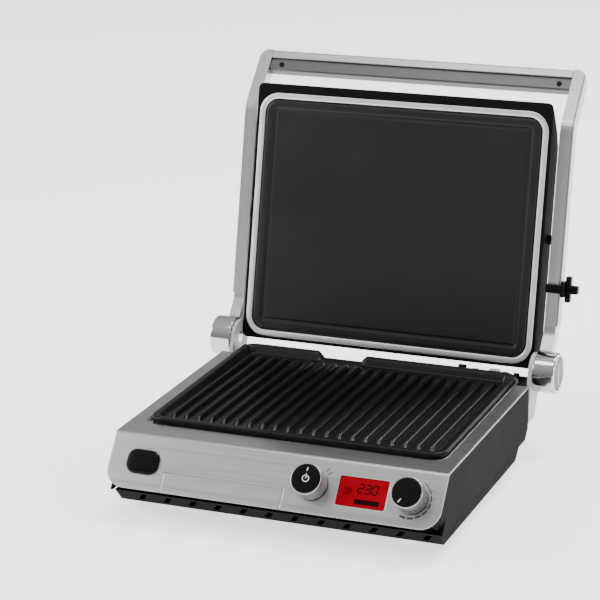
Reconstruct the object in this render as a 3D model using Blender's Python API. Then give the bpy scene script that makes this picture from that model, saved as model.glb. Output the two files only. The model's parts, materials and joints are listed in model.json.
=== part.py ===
"""Contact grill (panini press) as separate sub-parts with real joint axes.

Working frame while modelling, in millimetres: x across, y back from the bend
between deck and front panel, z up from the table. Everything hangs on the
empty "root", which is moved at the end so that the origin is under the middle
of the footprint. The lid stands open, leaning back, with the lower plate seated.
"""
import math

import bmesh
import bpy
from mathutils import Matrix, Vector

for item in list(bpy.data.objects):
    bpy.data.objects.remove(item, do_unlink=True)

mm = 0.001
gap = 0.3                     # clearance between pieces that touch

# Base
base_width = 350.0
deck_height = 81.0
side_depth = 263.0            # from the bend to the back of the side panels
rear_depth = 297.0            # from the bend to the rear wall between the hinges
rear_width = 327.0
side_floor = 25.0             # height of the side panels' lower edge
underside = 9.0               # height of the bottom cover's underside
panel_length = 57.4           # front panel, down its slope
panel_lean = 38.3             # front panel's lean from vertical, degrees
sheet = 1.2                   # steel sheet
wall = 3.0                    # plastic walls
panel_corner = 20.0
foot_spread = 264.0
foot_front = 31.0
foot_rear = 215.0

# Recess and lower reflector pan
recess_width = 320.0
recess_front = 28.0
recess_back = 291.0
recess_corner = 16.0
pan_drop = 2.5                # the pan's rim lies this far below the deck
pan_depth = 20.0
pan_sheet = 1.0
drain_right = -12.0           # the pan's rear edge is cut low from here leftwards
drain_drop = 9.0

# Cooking plates
plate_width = 314.6
plate_length = 254.0
plate_corner = 16.0
plate_band = 7.0              # height of the plates' outer edge
rib_pitch = 13.8
rib_margin = 18.4              # an outermost rib's middle stays this far from the plate's edge
rib_count = 2 * int((plate_width / 2 - rib_margin) / rib_pitch) + 1
lug_x = -6.3
lug_width = 17.0
lug_drop = 8.0

# Hinge and lid
axis_y = 300.0
axis_rise = 5.0                # hinge axis above the deck
axis_z = deck_height + axis_rise
lid_lean = 12.7               # degrees back from upright
lid_width = 336.0
lid_length = 282.0
lid_depth = 29.5
ring_width = 329.2
ring_length = 268.6
ring_corner = 22.0
ring_band = 6.9
ring_rise = 4.7               # ring's lower edge above the hinge axis, along the lid
ring_back = -0.9              # ring plane from the hinge axis, square to the lid
pivot_height = 134.0          # floating pivot above the ring's lower edge
pivot_back = -20.0

# Handle frame
arm_inner = 173.4             # half width inside the arms
arm_width = 12.6
arm_thick = 15.0
arm_back = -20.0              # arm's middle from the ring plane
arm_bend = 257.0              # bend's height above the hinge axis
top_length = 70.0
top_lean = 31.7               # upper part leans back from the arms, degrees
trim_thick = 1.5
crossbar_height = 10.0
inlay_height = 14.0
hub_radius = 22.0
hub_end = 197.0
hub_rim = 4.4                  # wall around the hub's end disc
bracket_inner = 168.6
pin_radius = 6.0
gland_radius = 6.6
gland_x = -120.0
gland_z = 46.0
clip_height = 88.0            # height-control clip above the hinge axis

# Front panel controls: x across and distance down the panel
start_x, temp_x, knob_down = 41.5, 143.6, 28.4
knob_radius = 16.5
knob_height = 20.6
knob_lift = 2.6               # skirt's clearance over the panel
screen_x, screen_down, screen_width, screen_height = 93.6, 29.7, 49.8, 29.4
button_x, button_down, button_width, button_height = -138.2, 28.8, 33.5, 24.0
tray_left, tray_right, tray_down = -114.0, 13.5, 36.0
tray_length = 235.0

materials = {
    "brushed_steel": ((0.62, 0.62, 0.63), 0.32, 1.0),
    "chrome": ((0.78, 0.78, 0.80), 0.12, 1.0),
    "grey_bracket": ((0.60, 0.60, 0.61), 0.45, 0.6),
    "black_plastic": ((0.018, 0.018, 0.020), 0.42, 0.0),
    "nonstick": ((0.022, 0.022, 0.024), 0.38, 0.2),
    "reflector": ((0.60, 0.60, 0.61), 0.30, 1.0),
    "element": ((0.03, 0.03, 0.032), 0.55, 0.4),
    "clip_metal": ((0.72, 0.70, 0.68), 0.28, 1.0),
    "lens_red": ((0.75, 0.02, 0.03), 0.15, 0.0),
    "circuit_board": ((0.03, 0.16, 0.08), 0.50, 0.0),
    "foot_rubber": ((0.80, 0.80, 0.78), 0.60, 0.0),
}


def material(name):
    """Principled material by name, made once."""
    if name in bpy.data.materials:
        return bpy.data.materials[name]
    colour, roughness, metallic = materials[name]
    made = bpy.data.materials.new(name)
    made.use_nodes = True
    shader = made.node_tree.nodes["Principled BSDF"]
    shader.inputs["Base Color"].default_value = (*colour, 1.0)
    shader.inputs["Roughness"].default_value = roughness
    shader.inputs["Metallic"].default_value = metallic
    return made


def empty(name, parent, location=(0, 0, 0), turn=0.0):
    """Empty at a place in its parent, turned about X by an angle in degrees."""
    made = bpy.data.objects.new(name, None)
    made.parent = parent
    made.location = Vector(location) * mm
    made.rotation_euler = (math.radians(turn), 0, 0)
    bpy.context.collection.objects.link(made)
    return made


def finish(name, bm, finish_name, parent, at=(0, 0, 0)):
    """Turn a bmesh in millimetres into an object; without a finish it is a cutter."""
    bmesh.ops.remove_doubles(bm, verts=bm.verts, dist=1e-4)
    bmesh.ops.recalc_face_normals(bm, faces=bm.faces)
    bmesh.ops.scale(bm, vec=(mm, mm, mm), verts=bm.verts)
    mesh = bpy.data.meshes.new(name)
    bm.to_mesh(mesh)
    bm.free()
    mesh.shade_smooth()
    mesh.set_sharp_from_angle(angle=math.radians(32))
    made = bpy.data.objects.new(name, mesh)
    made.parent = parent
    made.location = Vector(at) * mm
    bpy.context.collection.objects.link(made)
    if finish_name:
        mesh.materials.append(material(finish_name))
    else:
        made.hide_render = True
        made.display_type = "WIRE"
    return made


def boolean(target, tool, operation="DIFFERENCE"):
    """Cut a hidden tool out of an object, or join it on."""
    modifier = target.modifiers.new(operation.lower(), "BOOLEAN")
    modifier.operation = operation
    modifier.object = tool
    return target


def rounded(corners, radii, steps=4):
    """Closed outline with each corner replaced by an arc of its radius."""
    outline = []
    count = len(corners)
    for index, corner in enumerate(corners):
        here = Vector(corner)
        before = (Vector(corners[index - 1]) - here).normalized()
        after = (Vector(corners[(index + 1) % count]) - here).normalized()
        radius = radii[index] if isinstance(radii, (list, tuple)) else radii
        if radius <= 0:
            outline.append(tuple(here))
            continue
        half = before.angle(after) / 2
        centre = here + (before + after).normalized() * radius / math.sin(half)
        start = here + before * radius / math.tan(half) - centre
        end = here + after * radius / math.tan(half) - centre
        sweep = start.angle_signed(end)
        for step in range(steps + 1):
            turn = Matrix.Rotation(-sweep * step / steps, 2)
            outline.append(tuple(centre + turn @ start))
    return outline


def rectangle(width, height, radius, centre=(0, 0), steps=4):
    """Rounded rectangle outline, anticlockwise."""
    x, y = width / 2, height / 2
    corners = [(centre[0] + a * x, centre[1] + b * y) for a, b in ((-1, -1), (1, -1), (1, 1), (-1, 1))]
    return rounded(corners, min(radius, x - 0.1, y - 0.1), steps)


def strip(path, low, high):
    """Closed outline of a sheet that follows a path, between two offsets to its left."""
    points = [Vector(point) for point in path]
    sides = ([], [])
    for index, point in enumerate(points):
        before = (point - points[max(index - 1, 0)])
        after = (points[min(index + 1, len(points) - 1)] - point)
        before = before if before.length > 0 else after
        after = after if after.length > 0 else before
        first = Vector((-before.y, before.x)).normalized()
        second = Vector((-after.y, after.x)).normalized()
        middle = (first + second).normalized()
        reach = 1 / middle.dot(first)
        sides[0].append(tuple(point + middle * low * reach))
        sides[1].append(tuple(point + middle * high * reach))
    return sides[0] + sides[1][::-1]


def fillet_path(points, radius, steps=4):
    """Open path whose inner corners are arcs."""
    closed = rounded(points, [0] + [radius] * (len(points) - 2) + [0], steps)
    return closed


def prism(name, outline, axis, low, high, finish_name=None, parent=None):
    """Outline extruded along an axis: for x it is (y, z), for y (x, z), for z (x, y)."""
    place = {
        "x": lambda a, b: (low, a, b),
        "y": lambda a, b: (a, low, b),
        "z": lambda a, b: (a, b, low),
    }[axis]
    direction = Vector([float(axis == letter) for letter in "xyz"]) * (high - low)
    bm = bmesh.new()
    face = bm.faces.new([bm.verts.new(place(*point)) for point in outline])
    grown = bmesh.ops.extrude_face_region(bm, geom=[face])
    moved = [part for part in grown["geom"] if isinstance(part, bmesh.types.BMVert)]
    bmesh.ops.translate(bm, vec=direction, verts=moved)
    return finish(name, bm, finish_name, parent)


def box(name, low, high, finish_name=None, parent=None, bevel=0.0):
    """Box between two corners, with bevelled edges."""
    bm = bmesh.new()
    bmesh.ops.create_cube(bm, size=1.0)
    size = [high[k] - low[k] for k in range(3)]
    bmesh.ops.scale(bm, vec=size, verts=bm.verts)
    bmesh.ops.translate(bm, vec=[(high[k] + low[k]) / 2 for k in range(3)], verts=bm.verts)
    if bevel > 0:
        bmesh.ops.bevel(bm, geom=list(bm.edges), offset=bevel, segments=1, affect="EDGES")
    return finish(name, bm, finish_name, parent)


def loft(name, width, length, radius, profile, finish_name=None, parent=None, centre=(0, 0)):
    """Rounded-rectangle rings, each (inset, height, slope), bridged and capped at both ends."""
    bm = bmesh.new()
    rings = []
    for entry in profile:
        inset, height = entry[:2]
        slope = entry[2] if len(entry) > 2 else 0.0
        outline = rectangle(width - 2 * inset, length - 2 * inset, max(radius - inset, 2.0), centre)
        ring = [bm.verts.new((x, y, height + slope * (y - centre[1]))) for x, y in outline]
        rings.append(ring)
    count = len(rings[0])
    for lower, upper in zip(rings, rings[1:]):
        for index in range(count):
            after = (index + 1) % count
            bm.faces.new((lower[index], lower[after], upper[after], upper[index]))
    bm.faces.new(rings[0][::-1])
    bm.faces.new(rings[-1])
    return finish(name, bm, finish_name, parent)


def turned(name, profile, axis="z", at=(0, 0, 0), finish_name=None, parent=None, steps=24, hollow=False):
    """Profile of (radius, position) spun about an axis through a point."""
    place = {
        "x": lambda r, a: (a, r, 0),
        "y": lambda r, a: (0, a, r),
        "z": lambda r, a: (r, 0, a),
    }[axis]
    direction = [float(axis == letter) for letter in "xyz"]
    bm = bmesh.new()
    points = [bm.verts.new(place(*point)) for point in profile]
    edges = [bm.edges.new(pair) for pair in zip(points, points[1:])]
    if hollow:
        edges.append(bm.edges.new((points[-1], points[0])))
    bmesh.ops.spin(bm, geom=points + edges, cent=(0, 0, 0), axis=direction, angle=math.tau,
                   steps=steps, use_merge=True)
    bmesh.ops.translate(bm, vec=at, verts=bm.verts)
    return finish(name, bm, finish_name, parent)


def rod(radius, low, high, bevel=0.0):
    """Turned profile of a plain rod, for turned()."""
    if bevel <= 0:
        return [(0, low), (radius, low), (radius, high), (0, high)]
    return [(0, low), (radius - bevel, low), (radius, low + bevel),
            (radius, high - bevel), (radius - bevel, high), (0, high)]


def smooth_points(points, samples):
    """Points along a smooth curve through hand-chosen points (Catmull-Rom)."""
    ends = [points[0]] + list(points) + [points[-1]]
    result = []
    spans = len(points) - 1
    for sample in range(samples + 1):
        position = spans * sample / samples
        span = min(int(position), spans - 1)
        t = position - span
        a, b, c, d = [Vector(ends[span + k]) for k in range(4)]
        result.append(0.5 * ((2 * b) + (c - a) * t + (2 * a - 5 * b + 4 * c - d) * t ** 2
                             + (3 * b - a - 3 * c + d) * t ** 3))
    return result


def tube(name, points, radius, finish_name, parent, at=(0, 0, 0), roundness=1):
    """Round tube along points, with filled ends."""
    curve = bpy.data.curves.new(name, "CURVE")
    curve.dimensions = "3D"
    curve.bevel_depth = radius * mm
    curve.bevel_resolution = roundness
    curve.use_fill_caps = True
    curve.render_resolution_u = 0
    spline = curve.splines.new("POLY")
    spline.points.add(len(points) - 1)
    for target, point in zip(spline.points, points):
        target.co = (*(Vector(point) * mm), 1.0)
    curve.materials.append(material(finish_name))
    made = bpy.data.objects.new(name, curve)
    made.parent = parent
    made.location = Vector(at) * mm
    bpy.context.collection.objects.link(made)
    return made


# Frames
root = empty("root", None)
lean = math.radians(panel_lean)
panel_frame = empty("panel_frame", root, (0, 0, deck_height), 90 - panel_lean)
hinge = empty("frame_hinge_axis", root, (0, axis_y, axis_z), 90 - lid_lean)
ring_zero = Vector((0, ring_rise, ring_back))
pivot = empty("lid_float_axis", hinge, (0, ring_rise + pivot_height, ring_back + pivot_back))
lid = empty("lid_zero", pivot, (0, -pivot_height, -pivot_back))
plate_seat_y = axis_y - ring_rise - ring_length / 2
pan_rim = deck_height - pan_drop
plate_rim = pan_rim + gap + plate_band
pan_floor = pan_rim - pan_depth


def panel(down, out):
    """(y, z) of a point down the front panel and out from its face."""
    return (-math.sin(lean) * down - math.cos(lean) * out,
            deck_height - math.cos(lean) * down + math.sin(lean) * out)


def panel_cut(name, x, down, width, height, radius, deep=-12.0, proud=6.0):
    """Cutter through the front panel: a rounded rectangle on its face."""
    return prism(name, rectangle(width, height, radius, (x, -down)), "z", deep, proud, None, panel_frame)


def cut_panel_items(target, clearance):
    """Holes for the button, screen, tray and knob shafts."""
    boolean(target, panel_cut(target.name + "_cut_button", button_x, button_down,
                              button_width + 2 * clearance, button_height + 2 * clearance, 9.5))
    boolean(target, panel_cut(target.name + "_cut_screen", screen_x, screen_down,
                              screen_width + 2 * clearance, screen_height + 2 * clearance, 2.0))
    for label, x in (("start", start_x), ("temp", temp_x)):
        hole = turned(target.name + "_cut_" + label, rod(4.0, -12, 6), "z", (x, -knob_down, 0), None,
                      panel_frame, 20)
        boolean(target, hole)


def corner_cutters(target, half, end, radius, parent, deep, proud, label):
    """Round off the two outer lower corners of a panel that ends at y = end (towards -y)."""
    for side in (-1, 1):
        centre = (side * (half - radius), end + radius)
        reach = radius + 0.05
        arc = []
        for step in range(7):
            angle = math.pi / 2 * step / 6
            arc.append((centre[0] + side * reach * math.cos(angle), centre[1] - reach * math.sin(angle)))
        outline = arc + [(centre[0], end - 4), (side * (half + 4), end - 4), (side * (half + 4), centre[1])]
        name = f"{target.name}_{label}_{'left' if side < 0 else 'right'}"
        boolean(target, prism(name, outline, "z", deep, proud, None, parent))


def build_housing():
    """Black side, rear and front walls, open below and above."""
    skin = sheet + gap
    top = deck_height - skin
    inner_top = skin * math.tan(math.radians(90 - panel_lean) / 2)
    chamfer = 10.0
    outer = [(inner_top, top), panel(panel_length - 0.5, -skin), (-22, side_floor),
             (side_depth - chamfer, side_floor), (side_depth, side_floor + chamfer), (side_depth, top)]
    half = base_width / 2 - 0.1
    housing = prism("base_housing", outer, "x", -half, half, "black_plastic", root)
    rear = box("housing_rear", (-rear_width / 2, side_depth - 12, side_floor + 6),
               (rear_width / 2, rear_depth, top), None, root)
    boolean(housing, rear, "UNION")
    for index, x in enumerate((106, 140, 152), 1):
        bumper = box(f"rear_bumper_{index}", (x - 3, rear_depth - wall + 0.4, top - 4),
                     (x + 3, rear_depth - 0.4, deck_height + 1.6), None, root)
        boolean(housing, bumper, "UNION")
    deep = skin + wall
    hollow = [panel(-20, -deep), panel(panel_length, -deep), (-19, side_floor - 6),
              (side_depth - wall, side_floor - 6), (side_depth - wall, deck_height + 9)]
    boolean(housing, prism("housing_hollow", hollow, "x", -half + wall, half - wall, None, root))
    boolean(housing, box("housing_rear_hollow",
                         (-rear_width / 2 + wall, side_depth - 20, side_floor - 6),
                         (rear_width / 2 - wall, rear_depth - wall, deck_height + 9), None, root))
    cut_panel_items(housing, gap)
    boolean(housing, box("housing_tray_mouth", (tray_left - gap, -60, side_floor - 5),
                         (tray_right + gap, 12, panel(tray_down - gap, 0)[1]), None, root))
    boolean(housing, box("housing_drain", (-rear_width / 2 + 16, rear_depth - 12, pan_rim - drain_drop),
                         (drain_right, rear_depth + 6, deck_height + 6), None, root))
    gland = turned("housing_gland_hole", rod(gland_radius + gap, rear_depth - 12, rear_depth + 6), "y",
                   (gland_x, 0, gland_z), None, root, 20)
    boolean(housing, gland)
    for side in (-1, 1):
        low, high = sorted((side * (half - 6.6), side * (half - 0.6)))
        boolean(housing, box("housing_corner", (low, 0.7 - panel_length, -17.0),
                             (high, 16 - panel_length, -skin - 0.2), None, panel_frame), "UNION")
    corner_cutters(housing, half, 0.5 - panel_length, panel_corner - 1, panel_frame, -19, 6, "corner")
    return housing


def build_bottom_cover():
    """Tray-shaped black cover under the housing, with slanted vents in front."""
    top = side_floor - gap
    front = (-17.5, top)
    outer = [front, (-3, underside), (232, underside), (250, top)]
    inner = [(-12.6, top + 5), (-12.6, top - 0.4), (-1.0, underside + 2.5), (230, underside + 2.5),
             (245, top - 0.4), (245, top + 5)]
    half = 171.0
    cover = prism("bottom_cover", outer, "x", -half, half, "black_plastic", root)
    boolean(cover, prism("cover_hollow", inner, "x", -half + 2.5, half - 2.5, None, root))
    slant = 7.0
    for index in range(12):
        x = -150 + index * 27.3
        outline = [(x, underside + 4), (x + 6, underside + 4), (x + 6 + slant, top - 3), (x + slant, top - 3)]
        boolean(cover, prism(f"cover_vent_{index}", outline, "y", -24, 4, None, root))
    return cover


def build_deck():
    """Steel sheet: deck around the recess, bent down into the front panel."""
    path = fillet_path([(side_depth, deck_height), (0, deck_height), panel(panel_length, 0)], 4.0)
    outline = strip(path, 0, sheet)
    half = base_width / 2
    deck = prism("fascia_deck", outline, "x", -half, half, "brushed_steel", root)
    opening = rectangle(recess_width, 330, recess_corner, (0, recess_front + 165), 6)
    boolean(deck, prism("deck_opening", opening, "z", deck_height - 9, deck_height + 9, None, root))
    cut_panel_items(deck, gap)
    width = tray_right - tray_left
    boolean(deck, prism("deck_tray_mouth",
                        [(tray_left, -tray_down), (tray_left, -panel_length - 5),
                         (tray_left + width, -panel_length - 5), (tray_left + width, -tray_down)],
                        "z", -9, 6, None, panel_frame))
    corner_cutters(deck, half, -panel_length, panel_corner, panel_frame, -9, 6, "corner")
    return deck


def build_pan():
    """Lower reflector pan with its rim, raised pads, drain notch and lug slot."""
    z = pan_rim
    floor = pan_floor
    profile = [(26, floor), (21, floor), (18, floor + 1), (16, floor + 3.5), (13, z - 3.5), (11.5, z - 1),
               (10, z), (1.7, z), (1.4, z + 1.8), (0.6, z + 2.2), (0, z + 1.8), (0, z - pan_sheet),
               (9.5, z - pan_sheet), (10.5, z - 1.8), (12, z - 4), (15, floor + 3), (17, floor + 0.2),
               (20.5, floor - pan_sheet), (26, floor - pan_sheet)]
    length = recess_back - recess_front - 2 * gap
    middle = (recess_back + recess_front) / 2
    pan = loft("reflector_pan", recess_width - 2 * gap, length, recess_corner - gap, profile, "reflector",
               root, (0, middle))
    pads = {"centre": (-78, 14, 180, 252, 3.0), "right": (112, 132, 190, 268, 5.0),
            "left": (-132, -112, 150, 262, 5.0), "front": (60, 126, 60, 98, 2.5)}
    for label, (x0, x1, y0, y1, rise) in pads.items():
        pad = loft("pan_pad_" + label, x1 - x0, y1 - y0, 6,
                   [(-2, floor - 0.5), (-2, floor), (0, floor + rise - 0.4), (1, floor + rise), (4, floor + rise)],
                   None, root, ((x0 + x1) / 2, (y0 + y1) / 2))
        boolean(pan, pad, "UNION")
    boolean(pan, box("pan_drain", (-recess_width / 2 + 14, recess_back - 21, z - drain_drop),
                     (drain_right, recess_back + 6, deck_height + 9), None, root))
    plate_front = plate_seat_y - plate_length / 2
    boolean(pan, box("pan_slot", (lug_x - lug_width / 2 - 1.0, plate_front - 0.7, z - 3),
                     (lug_x + lug_width / 2 + 1.0, plate_front + 4.3, z + 1), None, root))
    return pan


element_half = [(8, 238), (18, 255), (45, 264), (75, 264), (98, 254), (105, 232), (98, 210), (76, 203),
                (50, 199), (34, 184), (34, 160), (50, 145), (78, 139), (97, 130), (103, 106), (97, 84),
                (80, 75), (50, 76), (23, 88)]
element_height = pan_floor + 9.5


def element_path(scale, middle, height, samples):
    """The element's route: its right half, mirrored through the front dip."""
    right = [((x * scale), (y - middle) * scale + middle, height) for x, y in element_half]
    dip = [(0.0, (96 - middle) * scale + middle, height)]
    left = [(-x, y, height) for x, y, height in reversed(right)]
    return smooth_points(right + dip + left, samples)


def build_base_inside():
    """Element, its clips, thermostat, board, screen and encoders."""
    tube("element_lower", element_path(1.0, 160, element_height, 60), 4.0, "element", root)
    spots = ((57, 264), (103, 106), (-57, 264), (-103, 106))
    for index, (x, y) in enumerate(spots, 1):
        box(f"element_clip_{index}", (x - 5, y - 6, pan_floor + gap), (x + 5, y + 6, element_height - 4.4),
            "clip_metal", root, 0.6)
    bracket = box("thermostat_bracket", (66, 174, pan_floor + gap), (104, 191, pan_floor + 11), "clip_metal",
                  root, 0.5)
    boolean(bracket, box("bracket_hollow", (60, 176, pan_floor - 3), (110, 189, pan_floor + 9.5), None, root))
    turned("thermostat_lower", rod(6.2, pan_floor + gap, pan_floor + 9, 0.6), "z", (85, 182.5, 0),
           "clip_metal", root, 20)
    box("control_board", (20, -50, -15.6), (168, -6, -14.0), "circuit_board", panel_frame)
    box("screen_module", (65, -47, -13.6), (122, -12.5, -5.2), "circuit_board", panel_frame, 0.5)
    prism("screen_lens", rectangle(screen_width, screen_height, 2.0, (screen_x, -screen_down)), "z", -4.6, -0.4,
          "lens_red", panel_frame)
    for label, x in (("start", start_x), ("temp", temp_x)):
        encoder = box(label + "_encoder", (x - 7, -knob_down - 7, -13.6), (x + 7, -knob_down + 7, -5.2),
                      "black_plastic", panel_frame, 0.5)
        boolean(encoder, turned(label + "_encoder_bore", rod(3.0 + gap, -16, -2), "z", (x, -knob_down, 0), None,
                                panel_frame, 16))


def build_base_outside():
    """Feet, hinge brackets and pins, cord gland, wire guard and conduit clip."""
    for end, y in (("front", foot_front), ("rear", foot_rear)):
        for side, x in (("left", -foot_spread / 2), ("right", foot_spread / 2)):
            turned(f"foot_{end}_{side}", [(0, 0), (14, 0), (15.5, 2), (16, underside - gap), (0, underside - gap)],
                   "z", (x, y, 0), "foot_rubber", root, 20)
    for side, sign in (("left", -1), ("right", 1)):
        arc = [(axis_y + 20 * math.cos(math.radians(a)), axis_z + 20 * math.sin(math.radians(a)))
               for a in range(-50, 171, 20)]
        outline = arc + [(side_depth + 8, side_floor + 30), (side_depth + 8, side_floor + 12),
                         (rear_depth - 5, side_floor + 12)]
        low, high = sorted((sign * bracket_inner, sign * (arm_inner - 0.4)))
        bracket = prism("hinge_bracket_" + side, outline, "x", low, high, "grey_bracket", root)
        inner, outer = sorted((sign * (rear_width / 2 + gap), sign * (bracket_inner + 1)))
        foot = box("bracket_foot_" + side, (inner, side_depth + 9, side_floor + 13),
                   (outer, rear_depth - 8, side_floor + 42), None, root)
        boolean(bracket, foot, "UNION")
        low, high = sorted((sign * 150, sign * 180))
        boolean(bracket, turned("bracket_bore_" + side, rod(pin_radius + gap, low, high), "x",
                                (0, axis_y, axis_z), None, root, 20))
        low, high = sorted((sign * (bracket_inner + gap), sign * 186))
        turned("hinge_pin_" + side, rod(pin_radius, low, high), "x", (0, axis_y, axis_z), "clip_metal", root, 20)
    turned("cord_gland", [(0, rear_depth - 2.6), (gland_radius, rear_depth - 2.6), (gland_radius, rear_depth + gap),
                          (gland_radius + 3, rear_depth + gap), (gland_radius + 3, rear_depth + 1.4),
                          (gland_radius + 1.5, rear_depth + 2.3), (gland_radius - 2, rear_depth + 2.3),
                          (gland_radius - 2.8, rear_depth + 0.6), (0, rear_depth + 0.6)], "y",
           (gland_x, 0, gland_z), "black_plastic", root, 16)
    prism("wire_guard", [(rear_depth + gap, axis_z - 34), (rear_depth + gap, axis_z - 8),
                         (axis_y - 1.6, axis_z - 1.5), (axis_y - 0.4, axis_z - 1.5), (axis_y - 0.4, axis_z - 30)],
          "x", 86, 95, "black_plastic", root)
    low, high, end = deck_height - 1, deck_height + 3, deck_height - 9
    prism("conduit_clip", [(rear_depth - 5.6, low), (rear_depth - 5.6, high), (rear_depth + 1.5, high),
                           (rear_depth + 1.5, end), (rear_depth + gap, end), (rear_depth + gap, low)],
          "x", 122, 133, "grey_bracket", root)


def build_knob(label, x, push):
    """Shaft, steel skirt and black cap of one dial, on an empty at its axis."""
    slide = empty(label + "_push_axis", panel_frame, (x, -knob_down, 0)) if push else panel_frame
    spin = empty(label + "_spin_axis", slide, (0, 0, 0) if push else (x, -knob_down, 0))
    shaft_end = -10.6 if push else -13.2
    top = knob_height - 0.8
    seat = top - 3.0
    turned(label + "_shaft", rod(3.0, shaft_end, seat - gap), "z", (0, 0, 0), "clip_metal",
           slide if push else spin, 16)
    turned(label + "_skirt",
           [(3.0 + gap, knob_lift), (knob_radius, knob_lift), (knob_radius - 0.7, top - 0.6),
            (knob_radius - 1.2, top), (knob_radius - 1.6, top - 0.6), (knob_radius - 1.6, seat),
            (3.0 + gap, seat)],
           "z", (0, 0, 0), "brushed_steel", spin, 28, hollow=True)
    cap_radius = knob_radius - 1.6 - gap
    turned(label + "_cap",
           [(0, seat + gap), (cap_radius, seat + gap), (cap_radius, top), (cap_radius - 0.8, knob_height),
            (0, knob_height)], "z", (0, 0, 0), "black_plastic", spin, 28)


def build_buttons():
    """Release button for the lower plate with its latch rod and spring."""
    axis = empty("lower_button_axis", panel_frame, (button_x, -button_down, 0))
    loft("release_button_lower", button_width - 2 * gap + 0.2, button_height - 2 * gap + 0.2, 9.2,
         [(0, -8), (0, 2.6), (0.6, 3.4), (1.6, 3.8)], "black_plastic", axis)
    prism("release_latch_lower", rectangle(9, 6, 1.0), "z", -26, -8.3, "black_plastic", axis)
    coil = []
    turns, sides, radius, start, end = 4, 10, 8.0, -22.0, -13.0
    for step in range(turns * sides + 1):
        angle = math.tau * step / sides
        coil.append((radius * math.cos(angle), radius * math.sin(angle),
                     start + (end - start) * step / (turns * sides)))
    tube("release_spring_lower", coil, 0.5, "clip_metal", panel_frame, (button_x, -button_down, 0), 0)


def build_tray():
    """Drip tray drawer and its steel front, flush in the front panel."""
    axis = empty("drip_tray_axis", root)
    front = empty("tray_front_zero", axis, (0, 0, deck_height), 90 - panel_lean)
    width = tray_right - tray_left - 2 * gap
    middle = (tray_left + tray_right) / 2
    prism("drip_tray_front",
          rectangle(width, panel_length - tray_down - gap, 0.6, (middle, -(panel_length + tray_down + gap) / 2), 2),
          "z", -sheet, 0, "brushed_steel", front)
    top = panel(tray_down, 0)[1] - 3
    low = side_floor + 2
    loft("drip_tray", width - 4, tray_length - 13, 8,
         [(9, low + 2), (5, low + 2.6), (2.2, low + 8), (1.6, top), (0, top), (0, top - 1.6), (0.4, low + 7),
          (3.6, low + 1), (9, low)], "black_plastic", axis, (middle, (tray_length + 13) / 2 - 22))


def build_grill_plate():
    """Lower cooking plate: rim, sloping floor, ribs, drain gap, front lug and rear bumps."""
    axis = empty("plate_lift_axis", root, (0, plate_seat_y, plate_rim))
    half = plate_length / 2
    front_floor, rear_floor = -4.6, -8.4
    floor = (front_floor + rear_floor) / 2
    slope = (rear_floor - front_floor) / plate_length
    under = 2.0
    profile = [(24, floor, slope), (15.5, floor, slope), (12.5, floor + 1.2, slope), (9.2, -0.9), (8.0, -0.2),
               (6.4, 0), (1.6, 0), (0.4, -0.6), (0, -1.8), (0, -plate_band), (8.4, -plate_band),
               (15.5, floor - under + 0.8, slope), (22, floor - under, slope), (26, floor - under, slope)]
    plate = loft("grill_plate", plate_width, plate_length, plate_corner, profile, "nonstick", axis)
    gap_left, gap_right = -69, -15
    drain = prism("plate_drain", [(gap_left + 7, rear_floor + 0.9), (gap_right - 7, rear_floor + 0.9),
                                  (gap_right, 6), (gap_left, 6)], "y", half - 14, half + 6, None, axis)
    boolean(plate, drain)
    bm = bmesh.new()
    front, back = -half + 15, half - 22
    for index in range(rib_count):
        x = (index - (rib_count - 1) / 2) * rib_pitch
        rings = []
        for y, size in ((front, 0.1), (front + 3.5, 1.0), (back - 3.5, 1.0), (back, 0.1)):
            foot = floor + slope * y
            top = foot + size * (-0.9 - foot - 2.0 * (y + half) / plate_length)
            rings.append([bm.verts.new((x + a, y, b)) for a, b in (
                (-2.9, foot - 0.8), (2.9, foot - 0.8), (1.6, top - 0.5), (0.7, top), (-0.7, top), (-1.6, top - 0.5))])
        for first, second in zip(rings, rings[1:]):
            for k in range(6):
                bm.faces.new((first[k], first[(k + 1) % 6], second[(k + 1) % 6], second[k]))
        bm.faces.new(rings[0][::-1])
        bm.faces.new(rings[-1])
    boolean(plate, finish("plate_ribs", bm, None, axis), "UNION")
    lug_front = -half
    lug = prism("plate_lug", rounded([(lug_x - lug_width / 2, -3), (lug_x - lug_width / 2 + 1.5, -plate_band - lug_drop),
                                      (lug_x + lug_width / 2 - 1.5, -plate_band - lug_drop),
                                      (lug_x + lug_width / 2, -3)], [0, 1.5, 1.5, 0], 2),
                "y", lug_front + 0.2, lug_front + 3.4, None, axis)
    boolean(plate, lug, "UNION")
    for index, x in enumerate((-121, -107)):
        bump = turned(f"plate_bump_{index}", [(0, -4), (2.4, -4), (2.4, -0.1), (1.8, 0.2), (0, 0.2)], "z",
                      (x, half - 4, 0), None, axis, 14)
        boolean(plate, bump, "UNION")
    return plate


def build_griddle_plate():
    """Upper flat cooking plate inside the ring."""
    axis = empty("upper_plate_axis", lid)
    profile = [(24, -0.3), (14, -0.3), (13.4, -1.6), (11.5, -1.8), (10.2, -0.6), (8.5, 0.4), (5, 0.7), (1.5, 0.4),
               (0.3, -0.6), (0, -2), (0, -6.5), (8, -6.5)]
    loft("griddle_plate", plate_width, plate_length, ring_corner - ring_band - gap, profile, "nonstick", axis,
         (0, ring_length / 2))


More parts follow.
